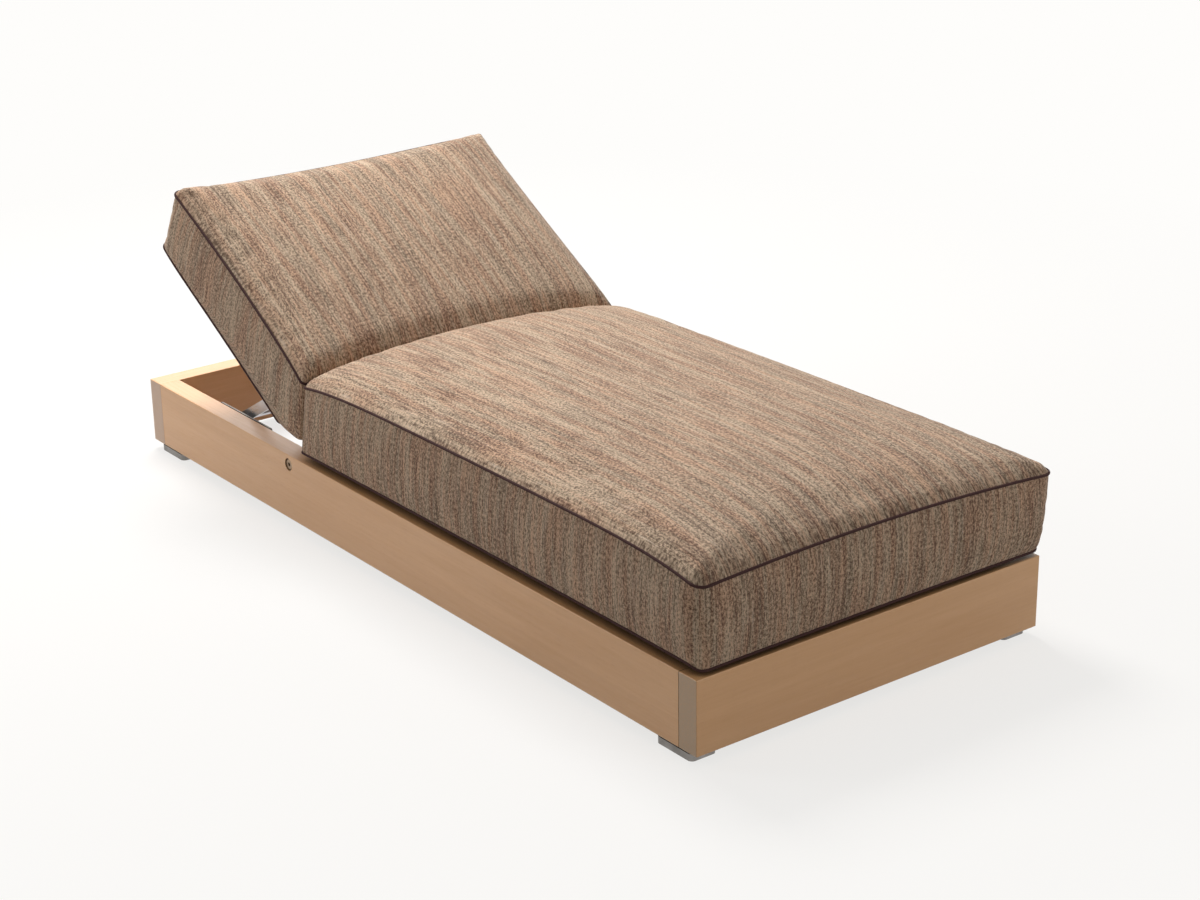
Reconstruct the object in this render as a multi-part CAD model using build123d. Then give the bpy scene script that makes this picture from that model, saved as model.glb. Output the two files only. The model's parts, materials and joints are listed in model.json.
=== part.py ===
from build123d import *
import math
import os

os.makedirs("parts", exist_ok=True)

# A low outdoor sun lounger: a wooden box frame on four feet, a slatted seat, a backrest that swings up
# on two bolts, and a prop stay whose foot bar slides along notched guide plates. Two boxed cushions,
# piped at their seams, lie on top. The origin is on the floor under the middle of the frame, +Y points
# to the head end and +Z up. Every piece is drawn as it stands with the backrest at its rest angle.

# Wooden frame
length = 2000
width = 850
board_thick = 50
board_high = 150
board_round = 2

# Feet
foot_long = 100
foot_wide = 60
foot_plate_thick = 14
foot_spacer_thick = 6
foot_round = 10
foot_spacer_step = 6
foot_side_inset = 6
foot_end_inset = 22

# Slatted seat
slat_wide = 80
slat_thick = 18
slat_round = 3
seat_slat_count = 10
slat_side_gap = 2
platform_front_gap = 10
ledger_wide = 30
ledger_high = 40
beam_wide = 40
beam_high = 60
bearer_wide = 40

# Corner brackets, bent from flat steel
bracket_leg = 40
bracket_thick = 4
bracket_high = 80
bracket_lift = 20

# Hinge of the backrest
hinge_from_head_end = 625
hinge_below_top = 22
hinge_behind_beam = 73
bolt_radius = 5
bolt_head_radius = 13
bolt_head_thick = 6
bolt_head_edge = 2
bolt_sink = 8
bolt_sink_radius = 14
bolt_socket_across = 8
bolt_socket_deep = 3
bolt_tail = 2
bush_radius = 7
washer_radius = 12
washer_thick = 8
nut_across = 17
nut_thick = 8
hinge_plate_thick = 5
hinge_lug_radius = 16
stay_lug_radius = 14
hinge_plate_waist = 8
hinge_plate_round = 5

# Backrest frame, measured from the hinge axis along and square to the backrest
rest_angle = 30
lowest_angle = 0
steepest_angle = 60
rail_wide = 30
rail_thick = 8
rail_start = 20
rear_rail_gap = 5
rail_lift = 14
middle_rail_place = 265
back_slat_count = 6
back_slat_start = -6
back_slat_side_gap = 7

# Prop stay: its arms are as long as the way from the hinge to their pins, so that the foot bar
# stays level with the hinge at every angle
arm_length = 180
arm_wide = 25
arm_thick = 6
stay_pin_radius = 4
stay_pin_head_radius = 7
stay_pin_head_thick = 3
foot_bar_radius = 6
foot_bar_into_board = 4

# Guide plates for the foot bar
guide_thick = 4
guide_high = 46
guide_margin = 16
guide_round = 6
guide_slot_gap = 0.75
notch_drop = 3.5
notch_angles = (20, 30, 40, 50, 60)
guide_pocket_deep = 6
guide_pocket_margin = 2

# Cushions
cushion_side_inset = 7
cushion_front_inset = 4
seat_cushion_high = 156
back_cushion_high = 172
cushion_crown = 25
cushion_corner = 25
corner_growth_share = 0.5
cushion_draw_share = 0.004
cushion_foot_draw = 4
piping_radius = 3.5
piping_side_count = 8
cushion_meeting_before_hinge = 55
back_cushion_overhang = 17
back_cushion_nose_lift = 20
back_cushion_nose_start = 50
crown_ring_count = 5
crown_inset_share = 0.35
crown_spread_share = 1.5

# Clearances
fit_gap = 0.05
side_gap = 0.3
soft_gap = 0.3
cut_over = 1

# Places worked out from the sizes above
board_low = foot_plate_thick + foot_spacer_thick
board_top = board_low + board_high
inner_x = width / 2 - board_thick
inner_y = length / 2 - board_thick
hinge_y = length / 2 - hinge_from_head_end
hinge_z = board_top - hinge_below_top
slat_low = hinge_below_top
slat_top = slat_low + slat_thick
beam_rear_y = hinge_y - hinge_behind_beam
beam_front_y = beam_rear_y - beam_wide
platform_front_y = -inner_y + platform_front_gap
hinge_plate_x = inner_x - washer_thick - side_gap
rail_x = hinge_plate_x - hinge_plate_thick
arm_x = rail_x - side_gap
rail_end = hinge_from_head_end - board_thick - rear_rail_gap
guide_x = inner_x - guide_thick
foot_x = width / 2 - foot_side_inset - foot_wide / 2
foot_y = length / 2 - foot_end_inset - foot_long / 2


def save(shape, name):
    export_step(shape, f"parts/{name}.step")


def block(x_ends, y_ends, z_ends):
    """A box between two places on each axis."""
    middle = [(low + high) / 2 for low, high in (x_ends, y_ends, z_ends)]
    size = [high - low for low, high in (x_ends, y_ends, z_ends)]
    return Pos(*middle) * Box(*size)


def rod(radius, x_ends, y, z):
    """A round bar along X."""
    low, high = x_ends
    return Pos((low + high) / 2, y, z) * Rot(0, 90, 0) * Cylinder(radius, high - low)


def soften_top(shape, axis, radius):
    """Rounds the upper edges that run along one axis."""
    return fillet(shape.edges().filter_by(axis).group_by(Axis.Z)[-1], radius)


def group(shapes):
    """Separate solids that share one node."""
    return Compound(children=list(shapes))


def on_side(shape, side):
    """A piece drawn on the +X side, or its mirror image for the left side."""
    return shape if side == "right" else mirror(shape, about=Plane.YZ)


def raised(shape):
    """Carries a piece drawn along the flat backrest to the rest angle."""
    return Pos(0, hinge_y, hinge_z) * Rot(rest_angle, 0, 0) * shape


def corners():
    """Each corner's name and the signs of its place."""
    for end, y_sign in (("front", -1), ("rear", 1)):
        for side, x_sign in (("left", -1), ("right", 1)):
            yield f"{end}_{side}", x_sign, y_sign


def slot_outline(grow):
    """The guide slot with its notches, drawn along Y and Z about the hinge's height."""
    radius = foot_bar_radius + guide_slot_gap + grow
    reaches = [
        hinge_y + 2 * arm_length * math.cos(math.radians(angle))
        for angle in (steepest_angle, lowest_angle)
    ]
    slot = Pos(sum(reaches) / 2, hinge_z) * SlotCenterToCenter(reaches[1] - reaches[0], 2 * radius)
    for angle in notch_angles:
        y = hinge_y + 2 * arm_length * math.cos(math.radians(angle))
        slot += Pos(y, hinge_z - notch_drop) * Circle(radius)
    return slot


def guide_ends():
    """The two ends of a guide plate along Y."""
    spread = foot_bar_radius + guide_slot_gap + guide_margin
    near = hinge_y + 2 * arm_length * math.cos(math.radians(steepest_angle)) - spread
    far = hinge_y + 2 * arm_length * math.cos(math.radians(lowest_angle)) + spread
    return near, far


# Frame boards
def end_board(y_sign):
    """The full-width board at one end."""
    outer = y_sign * length / 2
    inner = y_sign * inner_y
    board = block((-width / 2, width / 2), sorted((outer, inner)), (board_low, board_top))
    return fillet(board.edges(), board_round)


def side_board(side):
    """A long board with its bolt hole, counterbore and the pocket behind the guide plate."""
    board = block((inner_x, width / 2), (-inner_y, inner_y), (board_low, board_top))
    board = fillet(board.edges().filter_by(Axis.Y), board_round)
    floor_x = width / 2 - bolt_sink
    board -= rod(bush_radius + fit_gap, (inner_x - cut_over, width / 2), hinge_y, hinge_z)
    board -= rod(bolt_sink_radius, (floor_x, width / 2 + cut_over), hinge_y, hinge_z)
    pocket = Plane.YZ.offset(inner_x - cut_over) * slot_outline(guide_pocket_margin)
    board -= extrude(pocket, cut_over + guide_pocket_deep)
    return on_side(board, side)


def corner_bracket(x_sign, y_sign):
    """A bent angle that joins an end board and a side board from the inside."""
    x_far, x_near = x_sign * inner_x, x_sign * (inner_x - bracket_leg)
    y_far, y_near = y_sign * inner_y, y_sign * (inner_y - bracket_leg)
    low = board_low + bracket_lift
    z_ends = (low, low + bracket_high)
    along_end = block(sorted((x_near, x_far)), sorted((y_far - y_sign * bracket_thick, y_far)), z_ends)
    along_side = block(sorted((x_far - x_sign * bracket_thick, x_far)), sorted((y_near, y_far)), z_ends)
    return along_end + along_side


# Feet
def foot_plate(x_sign, y_sign):
    """A solid metal plate with rounded corners."""
    outline = RectangleRounded(foot_wide, foot_long, foot_round)
    return Pos(x_sign * foot_x, y_sign * foot_y) * extrude(outline, foot_plate_thick)


def foot_spacer(x_sign, y_sign):
    """The dark spacer between a foot plate and the boards."""
    outline = Rectangle(foot_wide - 2 * foot_spacer_step, foot_long - 2 * foot_spacer_step)
    at = Pos(x_sign * foot_x, y_sign * foot_y, foot_plate_thick)
    return at * extrude(outline, foot_spacer_thick)


# Seat platform
def ledger(side):
    """The strip on a side board that the slats' ends lie on."""
    strip = block(
        (inner_x - ledger_wide, inner_x), (-inner_y, beam_front_y), (board_top - ledger_high, board_top)
    )
    return on_side(strip, side)


def cross_beam():
    """The beam behind the last seat slat."""
    return block((-inner_x, inner_x), (beam_front_y, beam_rear_y), (board_top - beam_high, board_top))


def centre_bearer():
    """The bearer under the middle of the slats."""
    half = bearer_wide / 2
    return block((-half, half), (-inner_y, beam_front_y), (board_top - ledger_high, board_top))


def seat_slat(number):
    """One slat of the seat, counted from the foot end."""
    run = beam_rear_y - slat_wide - platform_front_y
    front = platform_front_y + run * number / (seat_slat_count - 1)
    half = inner_x - slat_side_gap
    slat = block((-half, half), (front, front + slat_wide), (board_top, board_top + slat_thick))
    return soften_top(slat, Axis.X, slat_round)


# Hinge
def hinge_bolt(side):
    """A shoulder bolt with a round head and a hex socket, sunk into the side board."""
    floor_x = width / 2 - bolt_sink
    tip_x = rail_x - side_gap - nut_thick - bolt_tail
    bolt = rod(bolt_radius, (tip_x, floor_x), hinge_y, hinge_z)
    head = rod(bolt_head_radius, (floor_x, floor_x + bolt_head_thick), hinge_y, hinge_z)
    head = chamfer(head.edges().group_by(Axis.X)[-1], bolt_head_edge)
    socket = RegularPolygon(bolt_socket_across / 2, 6, major_radius=False)
    socket_x = floor_x + bolt_head_thick - bolt_socket_deep
    socket = Plane.YZ.offset(socket_x) * Pos(hinge_y, hinge_z) * socket
    return on_side(bolt + head - extrude(socket, bolt_head_thick), side)


def hinge_ring(radius, x_ends, side):
    """A round piece with a running fit on the hinge bolt."""
    low, high = x_ends
    ring = rod(radius, x_ends, hinge_y, hinge_z)
    ring -= rod(bolt_radius + fit_gap, (low - cut_over, high + cut_over), hinge_y, hinge_z)
    return on_side(ring, side)


def hinge_nut(side):
    """The locking nut on the end of a hinge bolt."""
    high = rail_x - side_gap
    outline = Pos(hinge_y, hinge_z) * RegularPolygon(nut_across / 2, 6, major_radius=False)
    nut = extrude(Plane.YZ.offset(high - nut_thick) * outline, nut_thick)
    nut -= rod(bolt_radius + fit_gap, (high - nut_thick - cut_over, high + cut_over), hinge_y, hinge_z)
    return on_side(nut, side)


def hinge_plate(side):
    """The plate that carries a rail: a lug for the hinge bolt, a lug for the stay pin."""
    big, small, top = hinge_lug_radius, stay_lug_radius, rail_lift + rail_thick
    near, far = arm_length - small, arm_length + small
    outline = make_face(
        [
            ThreePointArc((-big, 0), (0, -big), (big, 0)),
            Line((big, 0), (big, hinge_plate_waist)),
            Line((big, hinge_plate_waist), (near, hinge_plate_waist)),
            Line((near, hinge_plate_waist), (near, 0)),
            ThreePointArc((near, 0), (arm_length, -small), (far, 0)),
            Line((far, 0), (far, top)),
            Line((far, top), (-big, top)),
            Line((-big, top), (-big, 0)),
        ]
    )
    bends = [v for v in outline.vertices() if v.Y > 0]
    outline = fillet(bends, hinge_plate_round)
    outline -= Circle(bolt_radius + fit_gap)
    outline -= Pos(arm_length, 0) * Circle(stay_pin_radius + fit_gap)
    plate = extrude(Plane.YZ.offset(rail_x) * outline, hinge_plate_thick)
    return on_side(raised(plate), side)


# Backrest frame
def side_rail(side):
    """A flat bar along one side of the backrest, under its slats."""
    rail = block((rail_x - rail_wide, rail_x), (rail_start, rail_end), (rail_lift, rail_lift + rail_thick))
    return on_side(raised(rail), side)


def cross_rail(start):
    """A flat bar between the side rails."""
    half = rail_x - rail_wide
    return raised(block((-half, half), (start, start + rail_wide), (rail_lift, rail_lift + rail_thick)))


def back_slat(number):
    """One slat of the backrest, counted from the hinge."""
    half = inner_x - back_slat_side_gap
    run = rail_end - slat_wide - back_slat_start
    near = back_slat_start + run * number / (back_slat_count - 1)
    slat = block((-half, half), (near, near + slat_wide), (slat_low, slat_top))
    return raised(soften_top(slat, Axis.X, slat_round))


# Prop stay
def propped(shape):
    """Carries a piece drawn along the stay, from its pins, to where it stands at rest."""
    angle = math.radians(rest_angle)
    y = hinge_y + arm_length * math.cos(angle)
    z = hinge_z + arm_length * math.sin(angle)
    return Pos(0, y, z) * Rot(-rest_angle, 0, 0) * shape


def stay_arm(side):
    """A flat arm with round ends, from its pin to the foot bar."""
    outline = Pos(arm_length / 2, 0) * SlotCenterToCenter(arm_length, arm_wide)
    outline -= Circle(stay_pin_radius + fit_gap)
    outline -= Pos(arm_length, 0) * Circle(foot_bar_radius + fit_gap)
    arm = extrude(Plane.YZ.offset(arm_x - arm_thick) * outline, arm_thick)
    return on_side(propped(arm), side)


def stay_pin(side):
    """The pin through a hinge plate that an arm swings on."""
    inner = arm_x - arm_thick - side_gap
    pin = rod(stay_pin_radius, (inner, hinge_plate_x), 0, 0)
    pin += rod(stay_pin_head_radius, (inner - stay_pin_head_thick, inner), 0, 0)
    return on_side(propped(pin), side)


def foot_bar():
    """The round bar across the well, with both ends in the guide slots."""
    reach = inner_x + foot_bar_into_board
    return propped(rod(foot_bar_radius, (-reach, reach), arm_length, 0))


def guide_plate(side):
    """A plate with a long slot and notches for the foot bar."""
    near, far = guide_ends()
    outline = Pos((near + far) / 2, hinge_z) * RectangleRounded(far - near, guide_high, guide_round)
    outline -= slot_outline(0)
    return on_side(extrude(Plane.YZ.offset(guide_x) * outline, guide_thick), side)


# Cushions
def cushion_outline(half, y_ends, inset, height):
    """A rounded rectangle whose sides are drawn in between the corners, at one height.

    The sides are shallow arcs that leave each corner at the same small angle, so that they run
    smoothly into the corner arcs.
    """
    x = half - inset
    low, high = y_ends[0] + inset, y_ends[1] - inset
    corner = cushion_corner + inset * corner_growth_share
    mid_y = (low + high) / 2
    end_draw = 2 * (x - corner) * cushion_draw_share
    side_draw = (high - low - 2 * corner) * cushion_draw_share
    turn = math.radians(45) + 2 * math.atan(2 * cushion_draw_share)
    bend = corner / 2 * (1 - math.tan(turn / 2))
    edges = [
        ThreePointArc((-x + corner, low), (0, low + end_draw), (x - corner, low)),
        ThreePointArc((x - corner, low), (x - bend, low + bend), (x, low + corner)),
        ThreePointArc((x, low + corner), (x - side_draw, mid_y), (x, high - corner)),
        ThreePointArc((x, high - corner), (x - bend, high - bend), (x - corner, high)),
        ThreePointArc((x - corner, high), (0, high - end_draw), (-x + corner, high)),
        ThreePointArc((-x + corner, high), (-x + bend, high - bend), (-x, high - corner)),
        ThreePointArc((-x, high - corner), (-x + side_draw, mid_y), (-x, low + corner)),
        ThreePointArc((-x, low + corner), (-x + bend, low + bend), (-x + corner, low)),
    ]
    return Pos(0, 0, height) * Wire(edges)


def piping(half, y_ends, height):
    """A thin cord sewn into a seam, drawn with eight sides."""
    path = cushion_outline(half, y_ends, piping_radius, height)
    start = path.edges()[0]
    profile = Plane(origin=start @ 0, z_dir=start % 0) * RegularPolygon(piping_radius, piping_side_count)
    return sweep(profile, path=path)


def seam_waist(half, y_ends, low):
    """The narrow band of a cushion behind a piping, as high as the piping."""
    inset = 2 * piping_radius + soft_gap
    rings = [cushion_outline(half, y_ends, inset, z) for z in (low, low + 2 * piping_radius)]
    return Solid.make_loft(rings, True)


def crown(half, y_ends, low, rise):
    """The domed top of a cushion, above its top seam, steep at the seam and level in the middle."""
    rings = []
    start = 2 * piping_radius + soft_gap
    for number in range(crown_ring_count):
        share = number / (crown_ring_count - 1)
        inset = start + half * crown_inset_share * share**crown_spread_share
        height = low + rise * (1 - (1 - share) ** 2)
        rings.append(cushion_outline(half, y_ends, inset, height))
    return Solid.make_loft(rings, False)


def seat_cushion_sizes():
    """Half width, ends along Y and height of the seat cushion's underside."""
    half = width / 2 - cushion_side_inset
    y_ends = (cushion_front_inset - length / 2, hinge_y - cushion_meeting_before_hinge - soft_gap)
    return half, y_ends, board_top + slat_thick + soft_gap


def seat_cushion():
    """The long cushion: boxing, a waist behind each piping and a crown."""
    half, y_ends, low = seat_cushion_sizes()
    seam = low + seat_cushion_high
    inset = cushion_foot_draw
    box_low, box_high = low + 2 * piping_radius, seam - piping_radius
    boxing = Solid.make_loft(
        [
            cushion_outline(half, y_ends, inset, box_low),
            cushion_outline(half, y_ends, 0, (box_low + box_high) / 2),
            cushion_outline(half, y_ends, 0, box_high),
        ],
        False,
    )
    lower = seam_waist(half - inset, (y_ends[0] + inset, y_ends[1] - inset), low)
    upper = seam_waist(half, y_ends, box_high)
    top = crown(half, y_ends, seam + piping_radius, cushion_crown)
    return boxing + lower + upper + top


def seat_piping():
    """The piping around the bottom and the top seam of the seat cushion."""
    half, y_ends, low = seat_cushion_sizes()
    inset = cushion_foot_draw
    bottom = piping(half - inset, (y_ends[0] + inset, y_ends[1] - inset), low + piping_radius)
    return group([bottom, piping(half, y_ends, low + seat_cushion_high)])


def meeting_reach(height):
    """Where the upright meeting face of the cushions lies on the flat backrest, at a height."""
    angle = math.radians(rest_angle)
    return (soft_gap - cushion_meeting_before_hinge + height * math.sin(angle)) / math.cos(angle)


def back_cushion_sizes():
    """Half width, far end and underside of the backrest cushion, along the backrest."""
    far = hinge_from_head_end + back_cushion_overhang
    return width / 2 - cushion_side_inset, far, slat_top + soft_gap


def back_cushion():
    """The short cushion, whose near face presses upright against the seat cushion."""
    half, far, low = back_cushion_sizes()
    seam = low + back_cushion_high
    inset = cushion_foot_draw
    box_low, box_high = low + 2 * piping_radius, seam - piping_radius
    nose = low + back_cushion_nose_lift
    bottom_ends = (back_cushion_nose_start, far - inset)
    boxing = Solid.make_loft(
        [
            cushion_outline(half - inset, bottom_ends, 0, box_low),
            cushion_outline(half, (meeting_reach(nose), far), 0, nose),
            cushion_outline(half, (meeting_reach(box_high), far), 0, box_high),
        ],
        True,
    )
    top_ends = (meeting_reach(seam + piping_radius), far)
    lower = seam_waist(half - inset, bottom_ends, low)
    upper = seam_waist(half, top_ends, box_high)
    top = crown(half, top_ends, seam + piping_radius, cushion_crown)
    return raised(boxing + lower + upper + top)


def back_piping():
    """The piping around the bottom and the top seam of the backrest cushion."""
    half, far, low = back_cushion_sizes()
    inset = cushion_foot_draw
    seam = low + back_cushion_high
    bottom = piping(half - inset, (back_cushion_nose_start, far - inset), low + piping_radius)
    top = piping(half, (meeting_reach(seam + piping_radius), far), seam)
    return group([raised(bottom), raised(top)])


save(end_board(-1), "front_board")
save(end_board(1), "rear_board")
for corner, x_sign, y_sign in corners():
    save(corner_bracket(x_sign, y_sign), f"{corner}_corner_bracket")
    save(foot_plate(x_sign, y_sign), f"{corner}_foot")
save(group([foot_spacer(*signs) for _, *signs in corners()]), "foot_spacers")

for side in ("left", "right"):
    save(side_board(side), f"{side}_side_board")
    save(ledger(side), f"{side}_ledger")
    save(hinge_bolt(side), f"{side}_hinge_bolt")
    save(hinge_plate(side), f"{side}_hinge_plate")
    save(side_rail(side), f"{side}_backrest_rail")
    save(stay_arm(side), f"{side}_stay_arm")
    save(guide_plate(side), f"{side}_guide_plate")
sides = ("left", "right")
bush_ends = (inner_x, width / 2 - bolt_sink)
save(group([hinge_ring(bush_radius, bush_ends, side) for side in sides]), "hinge_bushes")
washer_ends = (inner_x - washer_thick, inner_x)
save(group([hinge_ring(washer_radius, washer_ends, side) for side in sides]), "hinge_spacers")
save(group([hinge_nut(side) for side in sides]), "hinge_nuts")
save(group([stay_pin(side) for side in sides]), "stay_pins")
save(foot_bar(), "stay_foot_bar")

save(cross_beam(), "cross_beam")
save(centre_bearer(), "centre_bearer")
for number in range(seat_slat_count):
    save(seat_slat(number), f"seat_slat_{number + 1:02d}")
save(cross_rail(middle_rail_place), "backrest_middle_rail")
save(cross_rail(rail_end - rail_wide), "backrest_top_rail")
for number in range(back_slat_count):
    save(back_slat(number), f"backrest_slat_{number + 1}")

save(seat_cushion(), "seat_cushion")
save(seat_piping(), "seat_cushion_piping")
save(back_cushion(), "backrest_cushion")
save(back_piping(), "backrest_cushion_piping")
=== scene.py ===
import json
import math

import bpy
import numpy as np
from mathutils import Matrix, Vector


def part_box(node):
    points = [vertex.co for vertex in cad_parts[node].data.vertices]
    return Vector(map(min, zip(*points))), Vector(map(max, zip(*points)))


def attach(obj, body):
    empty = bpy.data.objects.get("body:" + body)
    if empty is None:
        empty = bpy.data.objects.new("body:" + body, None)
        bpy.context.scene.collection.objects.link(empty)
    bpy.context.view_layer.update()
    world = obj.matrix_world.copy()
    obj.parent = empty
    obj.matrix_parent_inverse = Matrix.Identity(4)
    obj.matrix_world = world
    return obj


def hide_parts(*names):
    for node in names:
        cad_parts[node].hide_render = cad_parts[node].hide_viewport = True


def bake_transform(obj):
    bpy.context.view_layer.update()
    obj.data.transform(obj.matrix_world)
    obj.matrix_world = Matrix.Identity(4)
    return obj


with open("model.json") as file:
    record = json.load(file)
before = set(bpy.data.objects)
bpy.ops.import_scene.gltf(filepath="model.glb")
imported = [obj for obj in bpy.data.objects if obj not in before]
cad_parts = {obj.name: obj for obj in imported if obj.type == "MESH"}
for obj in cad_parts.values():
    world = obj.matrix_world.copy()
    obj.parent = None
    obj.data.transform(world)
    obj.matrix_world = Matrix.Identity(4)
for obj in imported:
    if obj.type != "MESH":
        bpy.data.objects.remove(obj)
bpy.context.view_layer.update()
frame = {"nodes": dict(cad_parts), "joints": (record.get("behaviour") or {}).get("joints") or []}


# The place where the lounger stands: a plain pale studio floor with white all round. A wide soft lamp
# hangs over the head end, and three weaker ones stand behind it, on the left and in front. The camera is
# two metres up, off the foot end's left corner.
scene = bpy.context.scene
scene.view_settings.view_transform = "Standard"

camera_place = Vector((-2.8544, -3.9590, 2.0976))
camera_aim = Vector((-0.0143, -0.1883, 0.25))
camera_roll = math.radians(-0.87)
camera = bpy.data.objects.new("camera", bpy.data.cameras.new("camera"))
scene.collection.objects.link(camera)
camera.data.lens = 74.26
camera.data.clip_end = 100
look = (camera_aim - camera_place).to_track_quat("-Z", "Y").to_matrix().to_4x4()
camera.matrix_world = Matrix.Translation(camera_place) @ look @ Matrix.Rotation(camera_roll, 4, "Z")
scene.camera = camera


def add_node(tree, kind, inputs=None, **settings):
    """A node with its settings, and its inputs set to values or linked to other nodes' outputs."""
    made = tree.nodes.new(kind)
    for name, value in settings.items():
        setattr(made, name, value)
    for name, value in (inputs or {}).items():
        if isinstance(value, bpy.types.NodeSocket):
            tree.links.new(value, made.inputs[name])
        else:
            made.inputs[name].default_value = value
    return made


def new_material(name, **shader_values):
    """A material with its Principled BSDF, whose plain values are set on the shader's own sockets."""
    material = bpy.data.materials.new(name)
    material.use_nodes = True
    shader = material.node_tree.nodes["Principled BSDF"]
    for socket, value in shader_values.items():
        shader.inputs[socket.replace("_", " ")].default_value = value
    return material, material.node_tree, shader


def colour(red, green, blue):
    """A colour as it looks on a screen, from 0 to 255 a channel, for a shader."""
    parts = [c / 255 for c in (red, green, blue)]
    return [p / 12.92 if p <= 0.04045 else ((p + 0.055) / 1.055) ** 2.4 for p in parts] + [1]


def seen_or_mirrored(tree):
    """One where the camera or a shiny surface looks, and nothing where light only falls."""
    ray = add_node(tree, "ShaderNodeLightPath")
    rays = {0: ray.outputs["Is Camera Ray"], 1: ray.outputs["Is Glossy Ray"]}
    return add_node(tree, "ShaderNodeMath", rays, operation="MAXIMUM").outputs[0]


studio_white = colour(254, 253, 251)
sky_strength = 0.25
world = bpy.data.worlds.new("studio")
scene.world = world
world.use_nodes = True
sky = world.node_tree
sky_light = sky.nodes["Background"]
sky_light.inputs["Color"].default_value = studio_white
strength = add_node(
    sky, "ShaderNodeMapRange", {"Value": seen_or_mirrored(sky), "To Min": sky_strength, "To Max": 1.0}
)
sky.links.new(strength.outputs[0], sky_light.inputs["Strength"])


def soft_lamp(name, place, aim, size, watts, tint):
    """A square lamp at a place, turned to where it aims."""
    lamp = bpy.data.objects.new(name, bpy.data.lights.new(name, "AREA"))
    scene.collection.objects.link(lamp)
    lamp.data.shape = "SQUARE"
    lamp.data.size = size
    lamp.data.energy = watts
    lamp.data.color = tint
    lamp.location = place
    lamp.rotation_euler = (Vector(aim) - Vector(place)).to_track_quat("-Z", "Y").to_euler()


soft_lamp("overhead_lamp", (0.6, 2.6, 4.2), (0.1, 0.1, 0.3), 2.0, 230, (1, 0.98, 0.955))
soft_lamp("head_end_lamp", (2.0, 4.3, 1.9), (0, 0.5, 0.2), 2.4, 20, (1, 0.97, 0.95))
soft_lamp("left_lamp", (-3.1, 2.5, 2.1), (-0.2, 0.8, 0.1), 1.4, 38, (1, 0.97, 0.96))
soft_lamp("front_lamp", (1.8, -4.6, 1.3), (0.2, -0.8, 0.1), 1.6, 25, (1, 0.98, 0.96))

floor_half = 30
floor_under_light, floor_as_seen = colour(152, 148, 144), colour(247, 246, 245)
shadow_reach, white_reach = 0.9, 3.2
least_white = 0.74
floor_mesh = bpy.data.meshes.new("floor")
floor_corners = [(x * floor_half, y * floor_half, 0) for x, y in ((-1, -1), (1, -1), (1, 1), (-1, 1))]
floor_mesh.from_pydata(floor_corners, [], [(0, 1, 2, 3)])
floor = bpy.data.objects.new("floor", floor_mesh)
scene.collection.objects.link(floor)
floor_paint, tree, shader = new_material("floor_paint", Roughness=0.9, Specular_IOR_Level=0.1)
seen = seen_or_mirrored(tree)
floor_shades = add_node(
    tree, "ShaderNodeMix", {0: seen, 6: floor_under_light, 7: floor_as_seen}, data_type="RGBA"
)
tree.links.new(floor_shades.outputs[2], shader.inputs["Base Color"])
place = add_node(tree, "ShaderNodeTexCoord")
far_out = add_node(tree, "ShaderNodeVectorMath", {0: place.outputs["Object"]}, operation="LENGTH")
whiteness = add_node(
    tree,
    "ShaderNodeMapRange",
    {
        "Value": far_out.outputs["Value"],
        "From Min": shadow_reach,
        "From Max": white_reach,
        "To Min": least_white,
    },
)
whiteness = add_node(tree, "ShaderNodeMath", {0: whiteness.outputs[0], 1: seen}, operation="MULTIPLY")
white = add_node(tree, "ShaderNodeEmission", {"Color": studio_white, "Strength": 1.0})
lit = add_node(
    tree, "ShaderNodeMixShader", {0: whiteness.outputs[0], 1: shader.outputs[0], 2: white.outputs[0]}
)
tree.links.new(lit.outputs[0], tree.nodes["Material Output"].inputs["Surface"])
floor_mesh.materials.append(floor_paint)


# The box frame: four boards of oiled, fine-grained tan hardwood. The end boards run the full width, so
# their greyer end grain shows on the long sides, with the rear board's painted paler as painted light
# from behind. Every edge is eased, and the oil leaves a low sheen. The timber's colour also holds
# painted shade in crevices and under the cushions.
def new_group(name, inputs, outputs):
    """A node group with named sockets, and the nodes that hold its inputs and outputs."""
    group = bpy.data.node_groups.new(name, "ShaderNodeTree")
    for socket, kind in inputs.items():
        group.interface.new_socket(socket, in_out="INPUT", socket_type="NodeSocket" + kind)
    for socket, kind in outputs.items():
        group.interface.new_socket(socket, in_out="OUTPUT", socket_type="NodeSocket" + kind)
    return group, group.nodes.new("NodeGroupInput"), group.nodes.new("NodeGroupOutput")


def calc(tree, operation, first, second=0.5, third=0.5):
    """The output of one sum."""
    made = add_node(tree, "ShaderNodeMath", {0: first, 1: second, 2: third}, operation=operation)
    return made.outputs[0]


def mixed(tree, share, first, second, blend_type="MIX"):
    """The output of one mix of two colours."""
    made = add_node(
        tree, "ShaderNodeMix", {0: share, 6: first, 7: second}, data_type="RGBA", blend_type=blend_type
    )
    return made.outputs[2]


def ranged(tree, value, low, high, to_low=0.0, to_high=1.0):
    """A value's place between two others, held inside them."""
    made = add_node(
        tree,
        "ShaderNodeMapRange",
        {"Value": value, "From Min": low, "From Max": high, "To Min": to_low, "To Max": to_high},
    )
    return made.outputs[0]


def noise(tree, place, scale, detail=3.0, roughness=0.55, distortion=0.0):
    """The output of one noise texture."""
    made = add_node(
        tree,
        "ShaderNodeTexNoise",
        {
            "Vector": place,
            "Scale": scale,
            "Detail": detail,
            "Roughness": roughness,
            "Distortion": distortion,
        },
    )
    return made.outputs["Fac"]


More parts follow.
